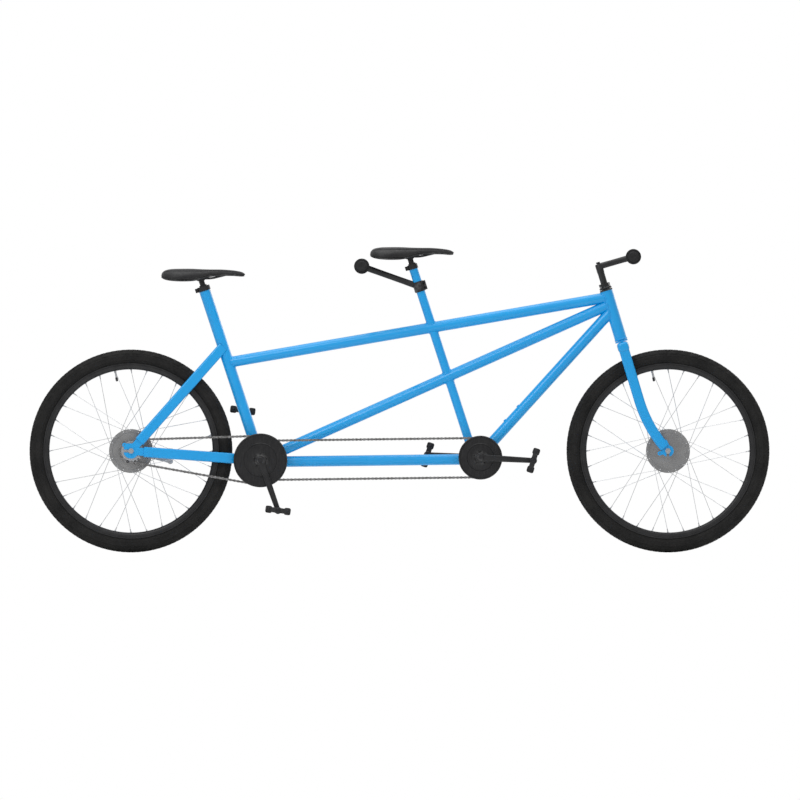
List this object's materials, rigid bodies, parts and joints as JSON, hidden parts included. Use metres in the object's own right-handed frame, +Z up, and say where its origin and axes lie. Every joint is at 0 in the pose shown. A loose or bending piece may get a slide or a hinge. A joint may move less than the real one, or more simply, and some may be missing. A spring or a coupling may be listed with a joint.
{
  "type": "tandem bicycle",
  "caption": "Tandem bicycle with a blue tube frame, in-line rider positions, chain-linked crank sets, large hub flanges and a raked fork.",
  "frame": {"origin": "on the ground, halfway between the two wheel axles, in the bicycle's middle plane", "axes": "+X forwards, +Y to the riders' left, +Z up; the drive side faces -Y"},
  "size_m": [2.4418, 0.586, 1.0115],
  "materials": {
    "frame_paint": "gloss",
    "black_alloy": "satin",
    "rim_black": "satin",
    "tyre": "matt",
    "hub_grey": "satin",
    "steel": "satin",
    "spoke_steel": "polished",
    "chain_steel": "oiled",
    "eccentric_alloy": "machined",
    "black_steel": "gloss",
    "grip_rubber": "matt",
    "pedal_black": "matt",
    "saddle_cover": "satin"
  },
  "bodies": {
    "frame": {"head_tube": "frame_paint", "top_tube": "frame_paint", "lateral_tube": "frame_paint", "down_tube": "frame_paint", "boom_tube": "frame_paint", "front_seat_tube": "frame_paint", "rear_seat_tube": "frame_paint", "front_bb_shell": "frame_paint", "rear_bb_shell": "frame_paint", "chain_stays": "frame_paint", "seat_stays": "frame_paint", "rear_dropouts": "frame_paint", "headset_cups": "steel", "seat_collars": "black_alloy", "eccentric_insert": "eccentric_alloy", "bb_cups": "steel", "rear_axle": "steel", "reaction_arm": "steel", "stoker_stem": "black_alloy", "stoker_handlebar": "black_alloy", "stoker_grips": "grip_rubber", "drive_chain": "chain_steel", "timing_chain": "chain_steel"},
    "fork": {"fork_steerer": "steel", "fork_crown": "frame_paint", "fork_blades": "frame_paint", "headset_locknuts": "steel", "front_axle": "steel"},
    "stem": {"quill_stem": "black_alloy", "stem_wedge": "steel", "captain_handlebar": "black_alloy", "captain_grips": "grip_rubber"},
    "front_wheel": {"front_tyre": "tyre", "front_rim": "rim_black", "front_spokes": "spoke_steel", "front_hub": "hub_grey"},
    "rear_wheel": {"rear_tyre": "tyre", "rear_rim": "rim_black", "rear_spokes": "spoke_steel", "rear_hub": "hub_grey"},
    "sprocket": {"rear_sprocket": "steel"},
    "rear_crankset": {"rear_crank_axles": "steel", "rear_crank_arms": "black_alloy", "rear_timing_ring": "black_steel", "rear_drive_ring": "black_steel", "rear_guard_disc": "black_steel"},
    "front_crankset": {"front_crank_axles": "steel", "front_crank_arms": "black_alloy", "front_timing_ring": "black_steel", "front_guard_disc": "black_steel"},
    "front_right_pedal": {"front_right_pedal": "pedal_black"},
    "front_left_pedal": {"front_left_pedal": "pedal_black"},
    "rear_right_pedal": {"rear_right_pedal": "pedal_black"},
    "rear_left_pedal": {"rear_left_pedal": "pedal_black"},
    "front_seat": {"front_saddle": "saddle_cover", "front_saddle_rails": "steel", "front_seatpost": "black_alloy"},
    "rear_seat": {"rear_saddle": "saddle_cover", "rear_saddle_rails": "steel", "rear_seatpost": "black_alloy"}
  },
  "joints": [
    {"name": "steering", "type": "hinge", "parent": "frame", "child": "fork", "pos_m": [0.72975, 0, 0.70616], "axis": [-0.2874, 0, 0.9578], "range_deg": [-75, 75]},
    {"name": "stem_height", "type": "slide", "parent": "fork", "child": "stem", "axis": [-0.2874, 0, 0.9578], "range_m": [-0.015, 0.025]},
    {"name": "front_wheel_spin", "type": "hinge", "parent": "fork", "child": "front_wheel", "pos_m": [0.886, 0, 0.335], "axis": [0, 1, 0], "continuous": true},
    {"name": "rear_wheel_spin", "type": "hinge", "parent": "frame", "child": "rear_wheel", "pos_m": [-0.886, 0, 0.335], "axis": [0, 1, 0], "continuous": true},
    {"name": "rear_crank_spin", "type": "hinge", "parent": "frame", "child": "rear_crankset", "pos_m": [-0.459, 0, 0.304], "axis": [0, 1, 0], "continuous": true, "deforming": ["drive_chain", "timing_chain"]},
    {"name": "front_crank_spin", "type": "hinge", "parent": "frame", "child": "front_crankset", "pos_m": [0.267, 0, 0.313], "axis": [0, 1, 0], "continuous": true},
    {"name": "sprocket_spin", "type": "hinge", "parent": "frame", "child": "sprocket", "pos_m": [-0.886, 0, 0.335], "axis": [0, 1, 0], "continuous": true},
    {"name": "front_right_pedal_spin", "type": "hinge", "parent": "front_crankset", "child": "front_right_pedal", "pos_m": [0.44174, -0.126, 0.30354], "axis": [0, 1, 0], "continuous": true},
    {"name": "front_left_pedal_spin", "type": "hinge", "parent": "front_crankset", "child": "front_left_pedal", "pos_m": [0.09226, 0.126, 0.32246], "axis": [0, 1, 0], "continuous": true},
    {"name": "rear_right_pedal_spin", "type": "hinge", "parent": "rear_crankset", "child": "rear_right_pedal", "pos_m": [-0.40087, -0.126, 0.13894], "axis": [0, 1, 0], "continuous": true},
    {"name": "rear_left_pedal_spin", "type": "hinge", "parent": "rear_crankset", "child": "rear_left_pedal", "pos_m": [-0.51713, 0.126, 0.46906], "axis": [0, 1, 0], "continuous": true},
    {"name": "front_seat_height", "type": "slide", "parent": "frame", "child": "front_seat", "axis": [-0.3074, 0, 0.9516], "range_m": [0, 0.12]},
    {"name": "rear_seat_height", "type": "slide", "parent": "frame", "child": "rear_seat", "axis": [-0.3123, 0, 0.95], "range_m": [0, 0.12]}
  ],
  "couplings": [
    {"joint": "front_crank_spin", "follows": "rear_crank_spin", "ratio": 1},
    {"joint": "sprocket_spin", "follows": "rear_crank_spin", "ratio": 2.2222}
  ]
}
